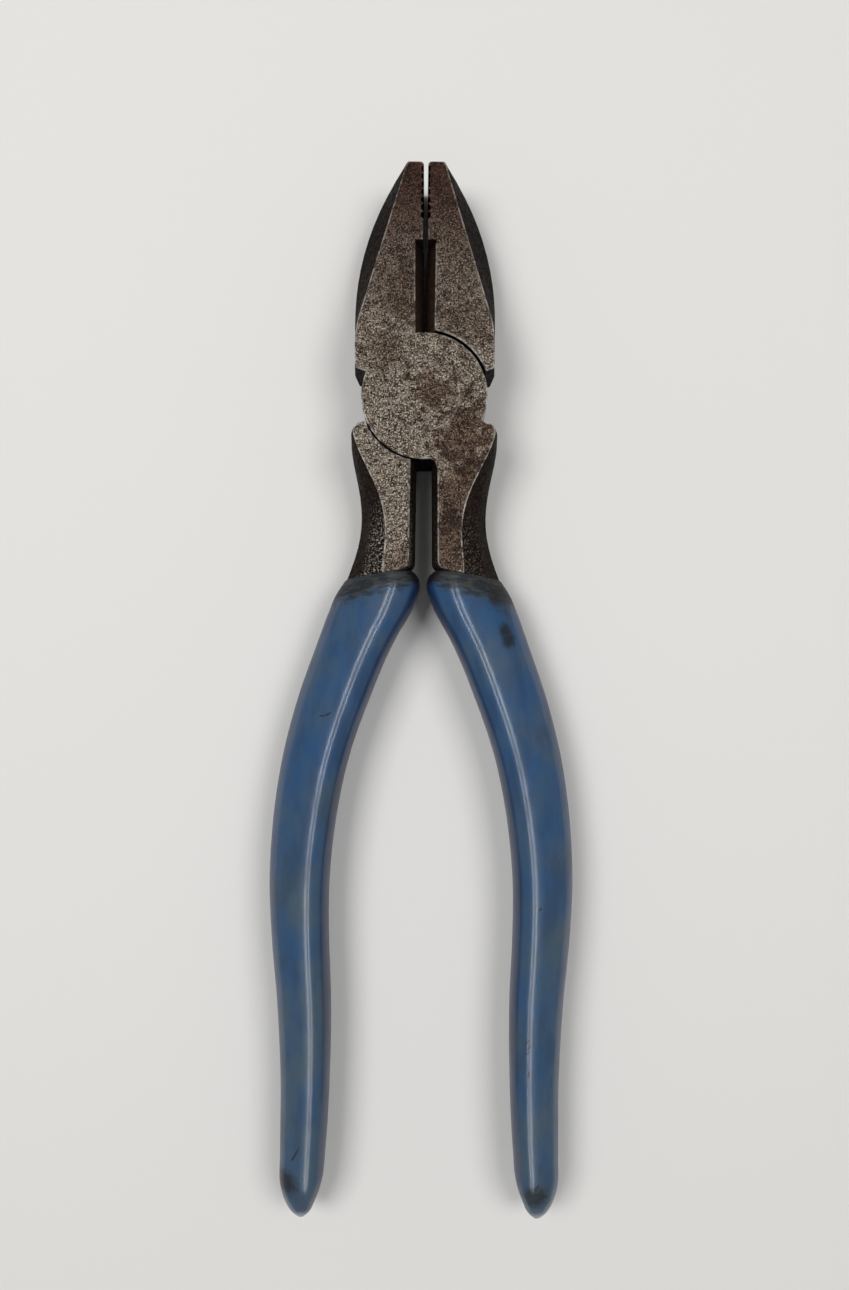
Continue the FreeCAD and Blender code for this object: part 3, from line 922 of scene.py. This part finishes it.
@dataclass
class Studio:
    """A pale floor, soft overhead light with two narrow strips, and a camera straight above."""

    floor_size: float = 3.0
    floor_drop: float = 0.02 * MM
    floor_tone: Colour = (0.78, 0.77, 0.75)
    camera_place: Point = (0.4 * MM, -55.1 * MM, 227.5 * MM)
    camera_roll: float = 0.0072
    lens: float = 26.755
    sensor: float = 36.0
    near: float = 10 * MM
    aim_y: float = -60 * MM
    zenith: float = 0.16
    horizon: float = 0.28
    lamps: tuple[Lamp, ...] = (
        Lamp("key_left", (-0.50, 0.12, 0.95), (0.5, 0.5), 6.5, glossy=False),
        Lamp("key_right", (0.50, 0.12, 0.95), (0.5, 0.5), 4.6, glossy=False),
        Lamp("strip_left", (-0.075, -0.35, 0.95), (0.03, 2.0), 2.3, glossy=True),
        Lamp("strip_right", (0.075, -0.35, 0.95), (0.03, 2.0), 2.3, glossy=True),
    )

    def floor(self) -> None:
        """Lays the floor."""
        half = self.floor_size / 2
        mesh = bpy.data.meshes.new("floor")
        corners = [(-half, -half, 0), (half, -half, 0), (half, half, 0), (-half, half, 0)]
        mesh.from_pydata(corners, [], [(0, 1, 2, 3)])
        material, _, shader = new_material("floor")
        shader.inputs["Base Color"].default_value = (*self.floor_tone, 1.0)
        shader.inputs["Roughness"].default_value = 0.9
        mesh.materials.append(material)
        mesh.transform(Matrix.Translation((0, 0, -self.floor_drop)))
        floor = bpy.data.objects.new("floor", mesh)
        bpy.context.scene.collection.objects.link(floor)

    def light(self, lamp: Lamp) -> None:
        """Hangs one lamp.

        Args:
            lamp: which one.
        """
        data = bpy.data.lights.new(lamp.name, "AREA")
        data.shape = "RECTANGLE"
        data.size, data.size_y = lamp.size
        data.energy = lamp.power
        holder = bpy.data.objects.new(lamp.name, data)
        holder.location = lamp.place
        if not lamp.glossy:
            aim = Vector((0.0, self.aim_y, 0.0)) - Vector(lamp.place)
            holder.rotation_euler = aim.to_track_quat("-Z", "Y").to_euler()
        holder.visible_glossy = lamp.glossy
        holder.visible_diffuse = not lamp.glossy
        bpy.context.scene.collection.objects.link(holder)

    def surroundings(self) -> None:
        """A neutral room whose light eases from its horizon to its zenith."""
        world = bpy.data.worlds.new("studio")
        world.use_nodes = True
        graph = Graph(world.node_tree)
        up = graph.add("SeparateXYZ", {0: graph.add("TexCoord", {}).outputs["Generated"]}).outputs["Z"]
        eased = {"Value": up, "From Min": 0.0, "From Max": 1.0, "To Min": self.horizon, "To Max": self.zenith}
        strength = graph.add("MapRange", eased, interpolation_type="SMOOTHSTEP").outputs[0]
        background = world.node_tree.nodes["Background"]
        background.inputs["Color"].default_value = (1.0, 1.0, 1.0, 1.0)
        graph.feed(background.inputs["Strength"], strength)
        bpy.context.scene.world = world

    def camera(self) -> None:
        """Hangs the camera above the pliers, facing straight down."""
        data = bpy.data.cameras.new("camera")
        data.lens = self.lens
        data.sensor_width = self.sensor
        data.clip_start = self.near
        holder = bpy.data.objects.new("camera", data)
        holder.location = self.camera_place
        holder.rotation_euler = (0.0, 0.0, self.camera_roll)
        bpy.context.scene.collection.objects.link(holder)
        bpy.context.scene.camera = holder

    def build(self) -> None:
        """Sets up the floor, the lights, the surroundings and the camera."""
        self.floor()
        for lamp in self.lamps:
            self.light(lamp)
        self.surroundings()
        bpy.context.scene.view_settings.view_transform = "Standard"
        self.camera()
        log.info("studio: %d lamps", len(self.lamps))


@dataclass
class Pliers:
    """The whole tool: its finishes and its five pieces.

    The stains lie on the upper face, but for the last two, which lie on the underside.
    """

    effects: Effects = field(default_factory=Effects)
    stains: tuple[Stain, ...] = (
        Stain((9 * MM, -9 * MM, HEAD_THICKNESS), 11 * MM, 0.9, 2.4),
        Stain((9 * MM, -21 * MM, HEAD_THICKNESS), 12 * MM, 0.9, 2.2),
        Stain((6 * MM, -33 * MM, HEAD_THICKNESS), 11 * MM, 0.9, 1.4),
        Stain((2.5 * MM, 1 * MM, HEAD_THICKNESS), 8 * MM, 0.85, 3.0),
        Stain((-4 * MM, 23 * MM, HEAD_THICKNESS), 10 * MM, 0.7, 2.4),
        Stain((8 * MM, 17 * MM, HEAD_THICKNESS), 9 * MM, 0.6, 3.0),
        Stain((-9 * MM, 10 * MM, HEAD_THICKNESS), 7 * MM, 0.6, 3.0),
        Stain((-5 * MM, -38 * MM, HEAD_THICKNESS), 6 * MM, 0.6, 1.2),
        Stain((6 * MM, 8 * MM, 0.0), 14 * MM, 0.8, 2.4),
        Stain((-6 * MM, -26 * MM, 0.0), 12 * MM, 0.8, 2.0),
    )

    def steel_finishes(self) -> dict[Zone, bpy.types.Material]:
        """The material for each zone of the steel.

        Returns:
            A material by zone.
        """
        ground = SteelFinish(
            "ground_steel", base=(0.207, 0.162, 0.119), dark=(0.027, 0.0150, 0.0085),
            pit=(0.008, 0.005, 0.003), speck=(0.64, 0.58, 0.48), metallic=0.35, roughness=0.48,
            grain=1200.0, speck_share=0.85, bump=0.6, stains=self.stains)
        bevel = SteelFinish(
            "worn_bevel", base=(0.42, 0.39, 0.35), dark=(0.10, 0.075, 0.06), pit=(0.04, 0.03, 0.022),
            speck=(0.85, 0.82, 0.78), metallic=0.45, roughness=0.34, grain=420.0,
            speck_share=0.6, bump=0.3, nose_tint=(0.45, 0.36, 0.32))
        forged = SteelFinish(
            "forged_scale", base=(0.017, 0.0105, 0.0075), dark=(0.008, 0.005, 0.0035),
            pit=(0.005, 0.003, 0.002), speck=(0.085, 0.066, 0.054), metallic=0.0, roughness=0.55,
            grain=1100.0, speck_share=0.25, bump=0.9, specular=0.04, spill=(0.34, 0.32, 0.28))
        knife = SteelFinish(
            "knife_steel", base=(0.070, 0.036, 0.021), dark=(0.034, 0.017, 0.010), pit=(0.015, 0.008, 0.005),
            speck=(0.16, 0.12, 0.09), metallic=0.1, roughness=0.55, grain=700.0,
            speck_share=0.2, bump=0.3)
        finishes = {Zone.GROUND: ground, Zone.BEVEL: bevel, Zone.FORGED: forged, Zone.KNIFE: knife}
        return {zone: finish.build(self.effects) for zone, finish in finishes.items()}

    def dip_finishes(self) -> dict[Side, bpy.types.Material]:
        """The dip material for each side, with the cuts and smudges of that handle.

        Returns:
            A material by side.
        """
        left = DipFinish(
            "left_dip", side=Side.LEFT,
            nicks=(Nick((-20.9 * MM, -70.6 * MM, 14.5 * MM), 0.5, 1.1 * MM, 0.30 * MM),
                   Nick((-22.3 * MM, -71.0 * MM, 14.5 * MM), 0.2, 0.7 * MM, 0.25 * MM),
                   Nick((-27.6 * MM, -169.0 * MM, 13.0 * MM), 1.1, 2.2 * MM, 0.25 * MM),
                   Nick((-28.2 * MM, -170.0 * MM, 13.0 * MM), 1.1, 1.2 * MM, 0.22 * MM)),
            smudges=(Stain((-30.5 * MM, -176.0 * MM, 12.5 * MM), 4.5 * MM, 0.8),))
        right = DipFinish(
            "right_dip", side=Side.RIGHT,
            nicks=(Nick((24.0 * MM, -143.3 * MM, 14.0 * MM), 0.9, 0.9 * MM, 0.22 * MM),
                   Nick((24.3 * MM, -144.6 * MM, 14.0 * MM), 0.9, 0.9 * MM, 0.22 * MM),
                   Nick((24.0 * MM, -145.9 * MM, 14.0 * MM), 0.9, 0.7 * MM, 0.22 * MM),
                   Nick((24.3 * MM, -150.6 * MM, 14.0 * MM), 1.4, 1.0 * MM, 0.32 * MM),
                   Nick((26.6 * MM, -113.6 * MM, 14.5 * MM), 0.8, 0.7 * MM, 0.32 * MM),
                   Nick((26.4 * MM, -176.6 * MM, 12.0 * MM), 1.2, 1.5 * MM, 0.5 * MM)),
            smudges=(Stain((18.8 * MM, -51.8 * MM, 14.6 * MM), 2.7 * MM, 0.85, 0.7),
                     Stain((19.5 * MM, -53.7 * MM, 14.4 * MM), 2.7 * MM, 0.85, 0.7),
                     Stain((17.0 * MM, -44.0 * MM, 13.8 * MM), 4.0 * MM, 0.75, 1.2),
                     Stain((26.2 * MM, -178.5 * MM, 12.0 * MM), 4.0 * MM, 0.8)))
        return {Side.LEFT: left.build(self.effects), Side.RIGHT: right.build(self.effects)}

    def build(self) -> None:
        """Builds every piece in order and reports it."""
        steel = self.steel_finishes()
        for node, body, slot in (
            ("right_jaw_half", "right_jaw_body", "forged_steel"),
            ("left_jaw_half", "left_jaw_body", "forged_steel"),
            ("pivot_rivet", "right_jaw_body", "rivet_steel"),
        ):
            SteelPiece(node, body, slot).dress(steel)
        dips = self.dip_finishes()
        for node, body, side, seed in (
            ("left_handle_grip", "right_jaw_body", Side.LEFT, 0.4),
            ("right_handle_grip", "left_jaw_body", Side.RIGHT, 1.7),
        ):
            DippedGrip(node, body, side, seed).dress(dips[side])


def main() -> None:
    """Builds the pliers and the studio."""
    logging.basicConfig(level=logging.INFO, format="%(message)s")
    Pliers().build()
    Studio().build()


if __name__ == "__main__":
    main()
